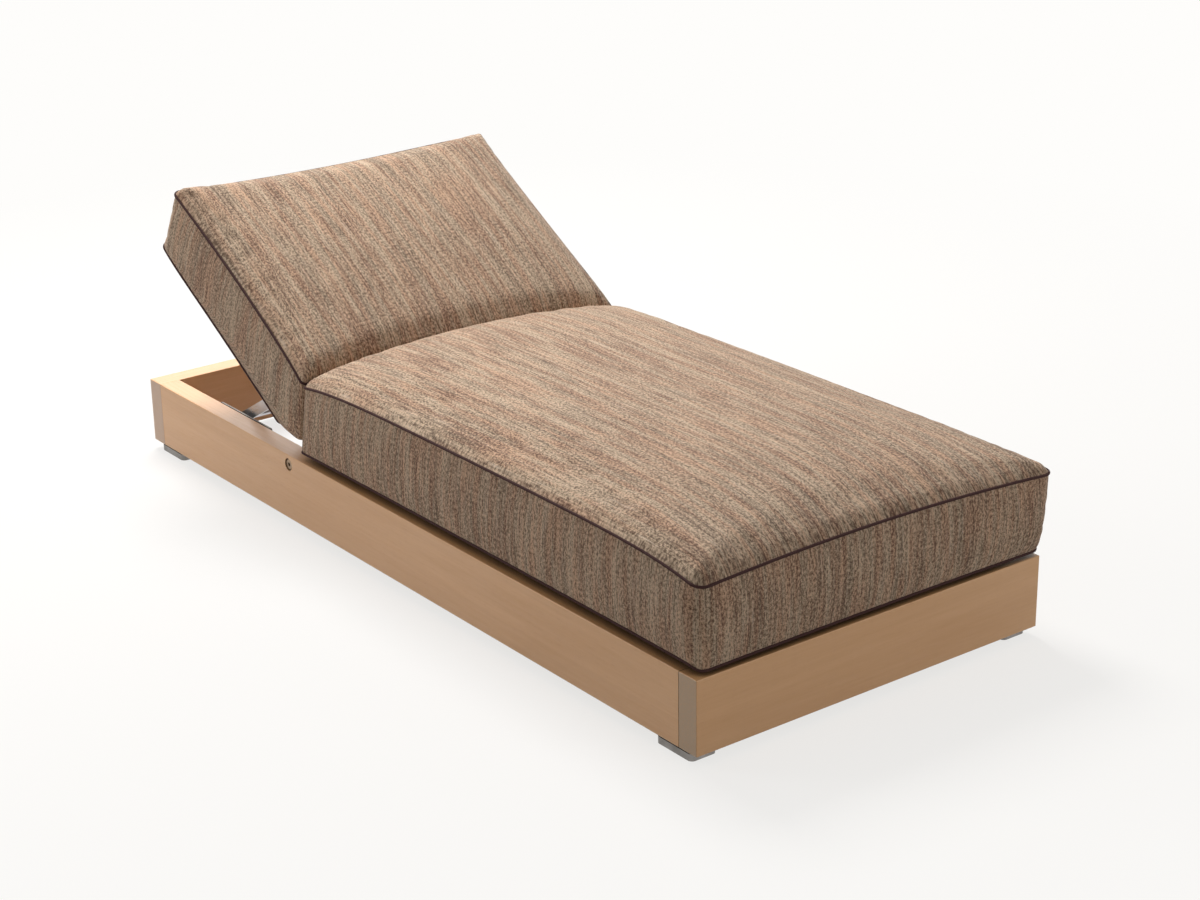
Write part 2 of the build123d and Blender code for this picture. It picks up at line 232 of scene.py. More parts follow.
def drawn_out(tree, place, way, stretch):
    """A place in space squeezed to a share of itself along one way, so that noise in it is drawn out."""
    along = add_node(tree, "ShaderNodeVectorMath", {0: place, 1: way}, operation="DOT_PRODUCT")
    squeeze = calc(tree, "MULTIPLY", along.outputs["Value"], stretch - 1)
    shift = add_node(tree, "ShaderNodeVectorMath", {0: way, "Scale": squeeze}, operation="SCALE")
    made = add_node(tree, "ShaderNodeVectorMath", {0: place, 1: shift.outputs[0]}, operation="ADD")
    return made.outputs[0]


timber, given, out = new_group(
    "timber",
    {
        "Grain Way": "Vector",
        "Pale": "Color",
        "Dark": "Color",
        "End Grain": "Color",
        "Figure": "Float",
        "Occlusion For Painted Shade": "Float",
    },
    {"Color": "Color", "Roughness": "Float", "Height": "Float"},
)
grain_stretch = 0.045
growth_scale, streak_scale, pore_scale, fleck_scale = 16, 170, 950, 620
growth_share, streak_share = 0.62, 0.38
pore_darkness = 0.30
painted_shade_darkest = 0.12
place = add_node(timber, "ShaderNodeTexCoord")
grain_way = given.outputs["Grain Way"]
dark = given.outputs["Dark"]
grain_place = drawn_out(timber, place.outputs["Object"], grain_way, grain_stretch)
facing = add_node(
    timber, "ShaderNodeVectorMath", {0: place.outputs["Normal"], 1: grain_way}, operation="DOT_PRODUCT"
)
cut_end = ranged(timber, calc(timber, "ABSOLUTE", facing.outputs["Value"]), 0.75, 0.95)
growth = noise(timber, grain_place, growth_scale, 5, 0.6, 1.4)
streaks = noise(timber, grain_place, streak_scale, 4, 0.65)
pores = ranged(timber, noise(timber, grain_place, pore_scale, 2), 0.60, 0.74)
grown = calc(timber, "MULTIPLY", growth, growth_share)
tone = calc(timber, "ADD", grown, calc(timber, "MULTIPLY", streaks, streak_share))
tone = ranged(timber, tone, 0.36, 0.64)
tone = calc(timber, "MULTIPLY", tone, given.outputs["Figure"])
side_colour = mixed(timber, tone, given.outputs["Pale"], dark)
side_colour = mixed(timber, calc(timber, "MULTIPLY", pores, pore_darkness), side_colour, dark, "MULTIPLY")
end_flecks = ranged(timber, noise(timber, place.outputs["Object"], fleck_scale, 3, 0.7), 0.35, 0.7, 0, 0.45)
end_colour = mixed(timber, end_flecks, given.outputs["End Grain"], dark)
bare = mixed(timber, cut_end, side_colour, end_colour)
# Painted shade: the colour is darkened where the occlusion is low, in crevices and under the cushions.
painted_shade_factor = ranged(timber, given.outputs["Occlusion For Painted Shade"], 0.15, 0.68, painted_shade_darkest, 1.0)
timber.links.new(mixed(timber, 1.0, bare, painted_shade_factor, "MULTIPLY"), out.inputs["Color"])
timber.links.new(ranged(timber, streaks, 0.3, 0.7, 0.36, 0.50), out.inputs["Roughness"])
hollows = calc(timber, "MULTIPLY", pores, 0.65)
relief = calc(timber, "SUBTRACT", calc(timber, "MULTIPLY", streaks, 0.35), hollows)
timber.links.new(relief, out.inputs["Height"])


def dress(piece, material):
    """Gives a piece one material."""
    piece.data.materials.clear()
    piece.data.materials.append(material)


def group_in(tree, group, inputs):
    """A group placed in a material, with its inputs."""
    return add_node(tree, "ShaderNodeGroup", inputs, node_tree=group)


def wired(tree, shader, made, bump_distance, bump_strength=1.0):
    """Leads a group's colour, roughness and height into the shader."""
    tree.links.new(made.outputs["Color"], shader.inputs["Base Color"])
    tree.links.new(made.outputs["Roughness"], shader.inputs["Roughness"])
    bump = add_node(
        tree,
        "ShaderNodeBump",
        {"Height": made.outputs["Height"], "Distance": bump_distance, "Strength": bump_strength},
    )
    tree.links.new(bump.outputs["Normal"], shader.inputs["Normal"])


painted_shade_reach = 0.045
grain_depth = 0.0004


def timber_material(name, grain_way, pale, dark, end_grain, figure):
    """Oiled hardwood, with painted shade in its crevices and under what lies on it. Figure is how far its
    grain goes from pale to dark.
    """
    material, tree, shader = new_material(
        name, Specular_IOR_Level=0.5, Coat_Weight=0.50, Coat_Roughness=0.30
    )
    # Painted shade: an occlusion node darkens the timber's colour in crevices and under what lies over it.
    painted_shade_occlusion = add_node(tree, "ShaderNodeAmbientOcclusion", {"Distance": painted_shade_reach}, samples=6)
    made = group_in(
        tree,
        timber,
        {
            "Grain Way": grain_way,
            "Pale": pale,
            "Dark": dark,
            "End Grain": end_grain,
            "Figure": figure,
            "Occlusion For Painted Shade": painted_shade_occlusion.outputs["AO"],
        },
    )
    wired(tree, shader, made, grain_depth)
    return material


grain_across = (1, 0, 0)
grain_lengthwise = (0, 1, 0)
board_figure = 0.55
board_pale, board_dark = colour(240, 187, 132), colour(222, 165, 108)
# Painted light: the rear board's end grain is paler than the front's, standing in for light from behind.
board_end, rear_board_end_painted_lit = colour(182, 156, 124), colour(204, 174, 150)
for node, way, name, end in (
    ("front_board", grain_across, "front_board_timber", board_end),
    ("rear_board", grain_across, "rear_board_timber_painted_lit", rear_board_end_painted_lit),
    ("left_side_board", grain_lengthwise, "left_board_timber", board_end),
    ("right_side_board", grain_lengthwise, "right_board_timber", board_end),
):
    dress(frame["nodes"][node], timber_material(name, way, board_pale, board_dark, end, board_figure))


# The feet: a solid stainless plate with rounded corners under each corner of the frame, and between the
# two a dark plastic spacer that is drawn in all round, so that the frame seems to hover.
brushed, given, out = new_group(
    "brushed steel",
    {"Brush Way": "Vector", "Bright": "Color", "Dull": "Color"},
    {"Color": "Color", "Roughness": "Float", "Height": "Float"},
)
brush_stretch = 0.02
brush_line_scale, smudge_scale = 1600, 26
place = add_node(brushed, "ShaderNodeTexCoord").outputs["Object"]
brushed_place = drawn_out(brushed, place, given.outputs["Brush Way"], brush_stretch)
lines = noise(brushed, brushed_place, brush_line_scale, 2)
smudges = noise(brushed, place, smudge_scale, 3)
steel_colour = mixed(
    brushed, ranged(brushed, smudges, 0.3, 0.7), given.outputs["Bright"], given.outputs["Dull"]
)
brushed.links.new(steel_colour, out.inputs["Color"])
smudged = ranged(brushed, smudges, 0.3, 0.7, 0, 0.10)
worn = calc(brushed, "ADD", ranged(brushed, lines, 0.3, 0.7, 0.22, 0.34), smudged)
brushed.links.new(worn, out.inputs["Roughness"])
brushed.links.new(lines, out.inputs["Height"])

speckled, given, out = new_group(
    "moulded plastic", {"Tint": "Color"}, {"Color": "Color", "Roughness": "Float", "Height": "Float"}
)
dust_colour = colour(120, 112, 102)
pit_scale, dust_scale = 1900, 40
place = add_node(speckled, "ShaderNodeTexCoord").outputs["Object"]
pitting = noise(speckled, place, pit_scale, 2)
dust = ranged(speckled, noise(speckled, place, dust_scale, 4), 0.45, 0.8, 0, 0.25)
speckled.links.new(mixed(speckled, dust, given.outputs["Tint"], dust_colour), out.inputs["Color"])
speckled.links.new(ranged(speckled, pitting, 0.3, 0.7, 0.5, 0.7), out.inputs["Roughness"])
speckled.links.new(pitting, out.inputs["Height"])


brush_line_depth = 0.00008
pit_depth = 0.0001


def steel_material(name, brush_way, bright, dull):
    """Brushed stainless steel, smudged from bright to dull."""
    material, tree, shader = new_material(name, Metallic=1.0)
    inputs = {"Brush Way": brush_way, "Bright": colour(*bright), "Dull": colour(*dull)}
    wired(tree, shader, group_in(tree, brushed, inputs), brush_line_depth)
    return material


# Painted shade: the foot plates are coloured darker than the other steel, standing in for the shade under
# the frame.
foot_steel_painted_shade = steel_material("foot_steel_painted_shade", (0, 1, 0), (150, 146, 143), (118, 114, 110))
for corner_name in ("front_left", "front_right", "rear_left", "rear_right"):
    dress(frame["nodes"][corner_name + "_foot"], foot_steel_painted_shade)
spacer_plastic, tree, shader = new_material("spacer_plastic", Specular_IOR_Level=0.4)
wired(tree, shader, group_in(tree, speckled, {"Tint": colour(46, 45, 46)}), pit_depth)
dress(frame["nodes"]["foot_spacers"], spacer_plastic)


# The corner brackets: bent steel angles inside the frame, each held by four round-headed screws with a
# hexagon socket, two into each board.
screw_head_radius = 0.0045
screw_head_rise = 0.0028
screw_socket_radius = 0.0016
screw_socket_depth = 0.0018
socket_rim = 1.25 * screw_socket_radius
head_sides = 18
hexagon_turn = math.pi / 3


def ring_faces(first, second, count):
    """The faces between two closed rings of points."""
    return [(first + i, first + (i + 1) % count, second + (i + 1) % count, second + i) for i in range(count)]


def screw_heads(name, spots, body):
    """One piece with a screw head at each spot, given as a place and the way that it faces.

    Each ring of a head has its radius and its share of the head's rise.
    """
    rings = (
        (screw_head_radius, 0.0),
        (screw_head_radius * 0.93, 0.45),
        (screw_head_radius * 0.72, 0.82),
        (socket_rim, 1.0),
        (screw_socket_radius, 0.97),
        (screw_socket_radius, 1 - screw_socket_depth / screw_head_rise),
    )
    points, faces = [], []
    for place, way in spots:
        turn = Vector(way).to_track_quat("Z", "Y").to_matrix()
        first = len(points)
        for radius, rise in rings:
            for side in range(head_sides):
                angle = 2 * math.pi * side / head_sides
                reach = radius
                if radius <= socket_rim:
                    reach /= math.cos((angle + hexagon_turn / 2) % hexagon_turn - hexagon_turn / 2)
                local = Vector((reach * math.cos(angle), reach * math.sin(angle), rise * screw_head_rise))
                points.append(Vector(place) + turn @ local)
        for number in range(len(rings) - 1):
            faces += ring_faces(first + number * head_sides, first + (number + 1) * head_sides, head_sides)
        last = first + (len(rings) - 1) * head_sides
        faces.append(tuple(last + i for i in range(head_sides)))
    mesh = bpy.data.meshes.new(name)
    mesh.from_pydata(points, [], faces)
    mesh.polygons.foreach_set("use_smooth", [len(f) == 4 for f in faces])
    piece = bpy.data.objects.new(name, mesh)
    scene.collection.objects.link(piece)
    dress(piece, screw_steel)
    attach(piece, body)


screw_steel = steel_material("screw_steel", (0, 0, 1), (178, 178, 180), (140, 140, 142))
bracket_steel = steel_material("bracket_steel", (0, 0, 1), (176, 177, 180), (150, 150, 152))
bracket_thick = 0.004
bracket_screw_rise = 0.020
spots = []
for end, y_sign in (("front", -1), ("rear", 1)):
    for side, x_sign in (("left", -1), ("right", 1)):
        node = f"{end}_{side}_corner_bracket"
        dress(frame["nodes"][node], bracket_steel)
        low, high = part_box(node)
        middle = (low + high) / 2
        outer_x = high.x if x_sign > 0 else low.x
        outer_y = high.y if y_sign > 0 else low.y
        for step in (-1, 1):
            z = middle.z + step * bracket_screw_rise
            leg_x = middle.x - x_sign * bracket_thick / 2
            leg_y = middle.y - y_sign * bracket_thick / 2
            spots.append(((outer_x - x_sign * bracket_thick, leg_y, z), (-x_sign, 0, 0)))
            spots.append(((leg_x, outer_y - y_sign * bracket_thick, z), (0, -y_sign, 0)))
screw_heads("corner_bracket_screw_heads", spots, "base")


# The platform under the seat cushion: ledgers along the side boards, a beam behind and a bearer under
# the middle, with ten slats of the same hardwood left plainer, screwed down at both ends.
slat_pale, slat_dark, slat_end = colour(226, 178, 134), colour(186, 136, 94), colour(170, 146, 114)
slat_figure, ledger_figure = 0.95, 0.9
slat_across = timber_material("slat_timber", grain_across, slat_pale, slat_dark, slat_end, slat_figure)
slat_lengthwise = timber_material(
    "ledger_timber", grain_lengthwise, slat_pale, slat_dark, slat_end, ledger_figure
)
for node in ("left_ledger", "right_ledger", "centre_bearer"):
    dress(frame["nodes"][node], slat_lengthwise)
dress(frame["nodes"]["cross_beam"], slat_across)
slat_screw_inset = 0.014
slat_screw_sink = 0.0026
spots = []
for node in sorted(n for n in frame["nodes"] if n.startswith("seat_slat_")):
    dress(frame["nodes"][node], slat_across)
    low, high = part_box(node)
    for x in (low.x + slat_screw_inset, high.x - slat_screw_inset):
        for y in (low.y + 2 * slat_screw_inset, high.y - 2 * slat_screw_inset):
            spots.append(((x, y, high.z - slat_screw_sink), (0, 0, 1)))
screw_heads("seat_slat_screw_heads", spots, "base")


# The hinge: a bolt in each long side with a round head sunk in a counterbore, turning in a plastic bush,
# with a washer, the hinge plate and a locking nut on the inside. All stainless but the bushes, and the
# bolts are coloured a brownish grey.
hinge_steel = steel_material("hinge_steel", (1, 0, 0), (205, 206, 208), (176, 176, 178))
bolt_steel = steel_material("bolt_steel", (1, 0, 0), (158, 134, 108), (118, 98, 78))
plate_steel = steel_material("plate_steel", (0, 1, 0), (188, 189, 192), (160, 160, 163))
for node in ("left_hinge_bolt", "right_hinge_bolt"):
    dress(frame["nodes"][node], bolt_steel)
for node in ("hinge_spacers", "hinge_nuts"):
    dress(frame["nodes"][node], hinge_steel)
for node in ("left_hinge_plate", "right_hinge_plate"):
    dress(frame["nodes"][node], plate_steel)
dress(frame["nodes"]["hinge_bushes"], spacer_plastic)


# The backrest frame: two flat steel rails on the hinge plates, two cross rails between them, and six
# hardwood slats held from below by one screw at each end.
rail_way = (0, 0.866, 0.5)
rail_steel = steel_material("rail_steel", rail_way, (214, 214, 216), (186, 186, 189))
cross_rail_steel = steel_material("cross_rail_steel", (1, 0, 0), (205, 205, 208), (178, 178, 181))
back_slat_timber = timber_material(
    "back_slat_timber", grain_across, slat_pale, slat_dark, slat_end, slat_figure
)
for node in ("left_backrest_rail", "right_backrest_rail"):
    dress(frame["nodes"][node], rail_steel)
for node in ("backrest_middle_rail", "backrest_top_rail"):
    dress(frame["nodes"][node], cross_rail_steel)

hinge_joint = next(j for j in frame["joints"] if j["name"] == "backrest_hinge")
hinge_place = Vector(hinge_joint["pos_m"])
rest_angle = math.radians(30)
incline = Matrix.Translation(hinge_place) @ Matrix.Rotation(rest_angle, 4, "X")
square_to_back = (incline.to_3x3() @ Vector((0, 0, 1))).normalized()
rail_underside = 0.014
rail_wide = 0.030
spots = []
for node in sorted(n for n in frame["nodes"] if n.startswith("backrest_slat_")):
    dress(frame["nodes"][node], back_slat_timber)
    reach = [(incline.inverted() @ v.co).y for v in frame["nodes"][node].data.vertices]
    middle = max((min(reach) + max(reach)) / 2, rail_wide)
    for rail in ("left_backrest_rail", "right_backrest_rail"):
        low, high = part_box(rail)
        spots.append((incline @ Vector(((low.x + high.x) / 2, middle, rail_underside)), -square_to_back))
screw_heads("backrest_screw_heads", spots, "backrest")


# The prop stay: two flat steel arms on headed pins, and the round foot bar that they share, whose ends
# run in slotted guide plates with five notches, screwed to the inside of the long sides.
stay_way = (0, 0.866, -0.5)
stay_steel = steel_material("stay_steel", stay_way, (206, 206, 209), (178, 178, 181))
bar_steel = steel_material("bar_steel", (1, 0, 0), (216, 216, 219), (190, 190, 193))
# Painted shade: the guide plates are coloured a dark brownish grey, darker than the other steel, for the
# shade inside the frame.
guide_steel_painted_shade = steel_material("guide_steel_painted_shade", (0, 1, 0), (118, 110, 102), (94, 88, 82))
for node in ("left_stay_arm", "right_stay_arm"):
    dress(frame["nodes"][node], stay_steel)
dress(frame["nodes"]["stay_pins"], hinge_steel)
dress(frame["nodes"]["stay_foot_bar"], bar_steel)
guide_screw_inset = 0.008
spots = []
for node, x_sign in (("left_guide_plate", -1), ("right_guide_plate", 1)):
    dress(frame["nodes"][node], guide_steel_painted_shade)
    low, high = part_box(node)
    face_x = low.x if x_sign > 0 else high.x
    for y in (low.y + guide_screw_inset, high.y - guide_screw_inset):
        for z in (low.z + guide_screw_inset, high.z - guide_screw_inset):
            spots.append(((face_x, y, z), (-x_sign, 0, 0)))
screw_heads("guide_screw_heads", spots, "base")


# The seat cushion: a thick foam slab in a boxed cover of heavy melange weave, brown and sand threads
# running lengthwise on the top and upright round the sides. It lies loose on the slats. Its top is
# domed, its rear corners sink a little, and its foam swells between the seams.
def rounded_place(across, along, half_across, half_along, corner, draw):
    """Moves points of a rectangle's grid in behind its round corners, and its sides in between them."""
    u = np.clip((abs(across) - half_across + corner) / corner, 0, 1)
    v = np.clip((abs(along) - half_along + corner) / corner, 0, 1)
    a = np.minimum(abs(across), half_across - corner) + corner * u * np.sqrt(1 - v * v / 2)
    b = np.minimum(abs(along), half_along - corner) + corner * v * np.sqrt(1 - u * u / 2)
    bowed_a = a - draw * a / half_across * (1 - (b / half_along) ** 2)
    bowed_b = b - draw * b / half_along * (1 - (a / half_across) ** 2)
    return np.sign(across) * bowed_a, np.sign(along) * bowed_b


def roll_over(distance, reach):
    """How far a quarter round has risen at a distance from its edge, from 0 to 1."""
    return np.sqrt(1 - (1 - np.clip(distance / reach, 0, 1)) ** 2)


def dome(distance, reach):
    """How far a crown has risen at a distance from its edge, from 0 to 1."""
    return np.sin(np.clip(distance / reach, 0, 1) * math.pi / 2)


class CushionShell:
    """A cushion's cover as an even mesh: a top, a bottom, and rows of faces round the sides.

    It is laid out across, along and up. near_edge and far_edge give where its ends stand at a height.
    The cloth's own place has a third number that keeps the weave of top, sides and bottom apart.
    """

    cell = 0.009
    edge_crowding = 0.45
    draw = 0.003
    roll = 0.026
    roll_reach = 0.027
    crown_reach = 0.26
    underside_bevel = 0.0035
    foot_draw = 0.002
    foot_rise = 0.024
    top_cloth, side_cloth, bottom_cloth = 0.0, 3.0, 7.0

    def __init__(self, half, near_edge, far_edge, near_corner, far_corner, low, seam, crown):
        self.half, self.near_edge, self.far_edge = half, near_edge, far_edge
        self.near_corner, self.far_corner = near_corner, far_corner
        self.low, self.seam = low, seam
        length = far_edge(seam) - near_edge(seam)
        self.columns = round(2 * half / self.cell)
        self.rows = round(length / self.cell)
        self.levels = round((seam - low) / self.cell)
        self.points, self.faces, self.cloth = [], [], []
        self.top = self.sheet(seam, crown, 1)
        self.bottom = self.sheet(low + self.underside_bevel, -self.underside_bevel, -1)
        self.walls()

    def ring(self):
        """The grid places round the edge of a sheet, in order."""
        c, r = self.columns, self.rows
        near = [(i, 0) for i in range(c)]
        right = [(c, j) for j in range(r)]
        far = [(c - i, r) for i in range(c)]
        left = [(0, r - j) for j in range(r)]
        return near + right + far + left

    def level_points(self, column, row, height):
        """Points of the cover at a height, from their columns and rows."""
        tuck = self.foot_draw * np.clip(1 - (height - self.low) / self.foot_rise, 0, 1) ** 2
        near, far = self.near_edge(height) + tuck, self.far_edge(height) - tuck
        half_across, half_along, middle = self.half - tuck, (far - near) / 2, (far + near) / 2
        across = self.crowded(column, self.columns) * half_across
        along = self.crowded(row, self.rows) * half_along
        corner = np.where(along > 0, self.far_corner, self.near_corner)
        a, b = rounded_place(across, along, half_across, half_along, corner, self.draw)
        return a, b + middle

    def crowded(self, number, count):
        """A column's or row's place from -1 to 1, with the places closer together near both ends."""
        even = 2 * number / count - 1
        return even + self.edge_crowding * np.sin(math.pi * even) / math.pi

    def sheet(self, height, crown, way):
        """The top or the bottom of the cover. Returns its points' numbers by column and row."""
        column, row = np.meshgrid(np.arange(self.columns + 1), np.arange(self.rows + 1), indexing="ij")
        a, b = self.level_points(column.astype(float), row.astype(float), height)
        side = self.half * (1 - abs(self.crowded(column, self.columns)))
        length = self.far_edge(height) - self.near_edge(height)
        end = length / 2 * (1 - abs(self.crowded(row, self.rows)))
        if way > 0:
            rise = self.roll * roll_over(side, self.roll_reach) * roll_over(end, self.roll_reach)
            rise += crown * dome(side, self.crown_reach) * dome(end, self.crown_reach)
        else:
            rise = crown * dome(side, self.cell) * dome(end, self.cell)
        first = len(self.points)
        numbers = first + np.arange(a.size).reshape(a.shape)
        self.points += list(zip(a.ravel(), b.ravel(), (height + rise).ravel()))
        apart = self.top_cloth if way > 0 else self.bottom_cloth
        for i in range(self.columns):
            for j in range(self.rows):
                quad = (numbers[i, j], numbers[i + 1, j], numbers[i + 1, j + 1], numbers[i, j + 1])
                self.faces.append(quad if way > 0 else quad[::-1])
                self.cloth += [(self.points[n][0], self.points[n][1], apart) for n in self.faces[-1]]
        return numbers

    def walls(self):
        """The boxing between the bottom and the top seam."""
        ring = self.ring()
        column = np.array([c for c, _ in ring], float)
        row = np.array([r for _, r in ring], float)
        low = self.low + self.underside_bevel
        levels = [[self.bottom[c, r] for c, r in ring]]
        for level in range(1, self.levels):
            height = low + (self.seam - low) * level / self.levels
            a, b = self.level_points(column, row, height)
            first = len(self.points)
            self.points += [(x, y, height) for x, y in zip(a, b)]
            levels.append(list(range(first, first + len(ring))))
        levels.append([self.top[c, r] for c, r in ring])
        self.levels_round = levels
        seam_points = np.array([self.points[n][:2] for n in levels[-1]])
        steps = np.linalg.norm(np.roll(seam_points, -1, 0) - seam_points, axis=1)
        way_round = np.concatenate([[0], np.cumsum(steps)])
        for below, above in zip(levels, levels[1:]):
            for i in range(len(ring)):
                k = (i + 1) % len(ring)
                quad = (below[i], below[k], above[k], above[i])
                self.faces.append(quad)
                for n, place in zip(quad, (way_round[i], way_round[i + 1], way_round[i + 1], way_round[i])):
                    self.cloth.append((place, self.points[n][2], self.side_cloth))


def cloth_piece(name, points, faces, cloth):
    """A smooth piece, with the cloth's own place kept on each corner of its faces."""
    mesh = bpy.data.meshes.new(name)
    mesh.from_pydata(np.array(points, float).tolist(), [], [tuple(map(int, face)) for face in faces])
    way = mesh.attributes.new("cloth_way", "FLOAT_VECTOR", "CORNER")
    way.data.foreach_set("vector", np.array(cloth, np.float32).ravel())
    mesh.polygons.foreach_set("use_smooth", [True] * len(mesh.polygons))
    piece = bpy.data.objects.new(name, mesh)
    scene.collection.objects.link(piece)
    return piece


def places_of(piece):
    """A mesh's points as rows of three numbers."""
    found = np.zeros(len(piece.data.vertices) * 3)
    piece.data.vertices.foreach_get("co", found)
    return found.reshape(-1, 3)


def put_places(piece, places):
    """Moves a mesh's points to new places."""
    piece.data.vertices.foreach_set("co", np.asarray(places, np.float32).ravel())
    piece.data.update()


air_pressure = 4.0
cloth_growth = 0.012
cloth_stiffness = 0.6
cloth_steps = 4
swelling_frames = 20
least_move = 1e-9


def swell(cushion, held, most):
    """Lets air pressure swell the cover between its seams, and keeps what it moves by under a limit."""
    before = places_of(cushion)
    group = cushion.vertex_groups.new(name="held")
    group.add([int(n) for n in held], 1.0, "REPLACE")
    cloth = cushion.modifiers.new("swelling", "CLOTH")
    cloth.settings.vertex_group_mass = "held"
    cloth.settings.use_pressure = True
    cloth.settings.uniform_pressure_force = air_pressure
    cloth.settings.effector_weights.gravity = 0.0
    cloth.settings.shrink_min = -cloth_growth
    cloth.settings.bending_stiffness = cloth_stiffness
    cloth.settings.quality = cloth_steps
    cloth.point_cache.frame_start = 1
    cloth.point_cache.frame_end = swelling_frames
    for number in range(1, swelling_frames + 1):
        scene.frame_set(number)
    swollen = cushion.evaluated_get(bpy.context.evaluated_depsgraph_get()).to_mesh()
    after = np.zeros(len(swollen.vertices) * 3)
    swollen.vertices.foreach_get("co", after)
    cushion.modifiers.remove(cloth)
    cushion.vertex_groups.remove(group)
    scene.frame_set(1)
    moved = after.reshape(-1, 3) - before
    size = np.linalg.norm(moved, axis=1, keepdims=True)
    kept = most * np.tanh(size / most) / np.maximum(size, least_move)
    put_places(cushion, before + moved * kept)


melange, given, out = new_group(
    "melange weave",
    {
        "Cloth Way": "Vector",
        "Sand": "Color",
        "Brown": "Color",
        "Shadow": "Color",
        "Rose": "Color",
        "Pale": "Color",
        "Contrast": "Float",
    },
    {"Color": "Color", "Roughness": "Float", "Height": "Float"},
)
cloth_at = given.outputs["Cloth Way"]


def cloth_scaled(across, along, apart):
    """The cloth's own place, scaled across and along the threads."""
    scaled = {0: cloth_at, 1: (across, along, apart)}
    return add_node(melange, "ShaderNodeVectorMath", scaled, operation="MULTIPLY").outputs[0]


def threads_of(across, along, apart, detail, roughness):
    """Noise as fine across and along the threads as the two numbers say, in patches per metre."""
    return noise(melange, cloth_scaled(across, along, apart), 1, detail, roughness)


bands = threads_of(30, 2.6, 1, 2, 0.5)
stripes = threads_of(150, 6, 1, 2, 0.5)
slubs = threads_of(300, 16, 1, 3, 0.6)
threads = threads_of(270, 165, 1, 3, 0.65)
picks = threads_of(300, 800, 1, 1, 0.5)
tone = calc(melange, "MULTIPLY", bands, 0.10)
for layer, share in ((stripes, 0.13), (slubs, 0.17), (threads, 0.44), (picks, 0.16)):
    tone = calc(melange, "ADD", tone, calc(melange, "MULTIPLY", layer, share))
tone = calc(melange, "SUBTRACT", tone, 0.5)
tone = calc(melange, "MULTIPLY", tone, given.outputs["Contrast"])
tone = calc(melange, "ADD", tone, 0.5)
body = mixed(melange, ranged(melange, tone, 0, 1), given.outputs["Sand"], given.outputs["Brown"])
dark_slubs = ranged(melange, slubs, 0.58, 0.72, 0, 0.28)
body = mixed(melange, dark_slubs, body, given.outputs["Shadow"])
pale_slubs = ranged(melange, threads_of(260, 9, 2, 2, 0.6), 0.60, 0.74, 0, 0.55)
body = mixed(melange, pale_slubs, body, given.outputs["Pale"])
rose_share = 0.44
rose = ranged(melange, threads_of(60, 4, 5, 2, 0.55), 0.42, 0.60)
body = mixed(melange, calc(melange, "MULTIPLY", rose, rose_share), body, given.outputs["Rose"], "SOFT_LIGHT")
melange.links.new(body, out.inputs["Color"])
melange.links.new(ranged(melange, picks, 0.3, 0.7, 0.78, 0.95), out.inputs["Roughness"])
cords = add_node(
    melange,
    "ShaderNodeTexWave",
    {
        "Vector": cloth_scaled(1, 1, 0),
        "Scale": 130.0,
        "Distortion": 1.5,
        "Detail": 1.0,
        "Detail Scale": 2.0,
    },
    wave_type="BANDS",
    bands_direction="X",
).outputs["Fac"]
relief = calc(melange, "ADD", calc(melange, "MULTIPLY", picks, 0.6), calc(melange, "MULTIPLY", slubs, 0.4))
relief = calc(melange, "ADD", relief, calc(melange, "MULTIPLY", cords, 0.35))
melange.links.new(relief, out.inputs["Height"])

weave_contrast = 9.0
weave_depth, weave_strength = 0.0012, 0.8
cover_colours = {
    "Sand": colour(224, 198, 170),
    "Brown": colour(118, 97, 79),
    "Shadow": colour(86, 69, 57),
    "Rose": colour(176, 120, 112),
    "Pale": colour(232, 212, 192),
}


def melange_material(name):
    """The covers' cloth."""
    material, tree, shader = new_material(
        name, Specular_IOR_Level=0.2, Sheen_Weight=0.18, Sheen_Roughness=0.5
    )
    way = add_node(tree, "ShaderNodeAttribute", attribute_name="cloth_way")
    inputs = {"Cloth Way": way.outputs["Vector"], "Contrast": weave_contrast, **cover_colours}
    wired(tree, shader, group_in(tree, melange, inputs), weave_depth, weave_strength)
    return material


seat_cloth = melange_material("seat_cover_cloth")
seat_from, seat_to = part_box("seat_cushion")
seat_half = seat_to.x
seat_low = seat_from.z
seat_boxing = 0.156
seat_seam = seat_low + seat_boxing
seat_crown = 0.012
seat_foot_corner, seat_rear_corner = 0.024, 0.011
meeting_lean = 0.20
meeting_middle = Vector((0, 0.319, 0.270))


def seat_near(height):
    """Where the foot end of the cushion stands."""
    return seat_from.y


def seat_far(height):
    """Where the rear face stands, which the backrest cushion pushes forward at its top."""
    return meeting_middle.y + meeting_lean * (meeting_middle.z - height)


seat_shell = CushionShell(
    seat_half, seat_near, seat_far, seat_foot_corner, seat_rear_corner, seat_low, seat_seam, seat_crown
)
seat_cushion = cloth_piece("seat_cushion_cover", seat_shell.points, seat_shell.faces, seat_shell.cloth)
seat_swelling = 0.009
rear_wall_deep = 0.010
hair = 1e-6
rear_wall = [
    n
    for n, (_, along, height) in enumerate(seat_shell.points)
    if along > seat_far(height) - rear_wall_deep and height <= seat_seam + hair
]
seat_held = set(seat_shell.bottom.ravel()) | set(seat_shell.levels_round[-1]) | set(rear_wall)
swell(seat_cushion, seat_held, seat_swelling)


def corner_share(to_side, to_end, side_power, end_power):
    """How much a place belongs to the corner where both its shares are 1, falling off away from it."""
    return ((1 + to_side) / 2) ** side_power * ((1 + to_end) / 2) ** end_power


left_bow, right_bow, rear_bow, front_bow = 0.019, 0.008, 0.009, 0.011
pillow_rise, pillow_slope_share = 0.025, 0.6
side_sink, right_sink, front_sink = 0.006, 0.009, 0.006
front_droop, side_droop = 0.012, 0.004
front_slats_share, side_slats_share, full_droop_share = 0.92, 0.91, 0.99
loose_corner_drop, pressed_corner_drop = 0.006, 0.007
loose_flattening, pressed_flattening, near_flattening = 0.40, 0.35, 0.45
loose_foot_out, loose_belly_out, loose_seam_back, loose_forward = 0.012, 0.030, 0.006, 0.004


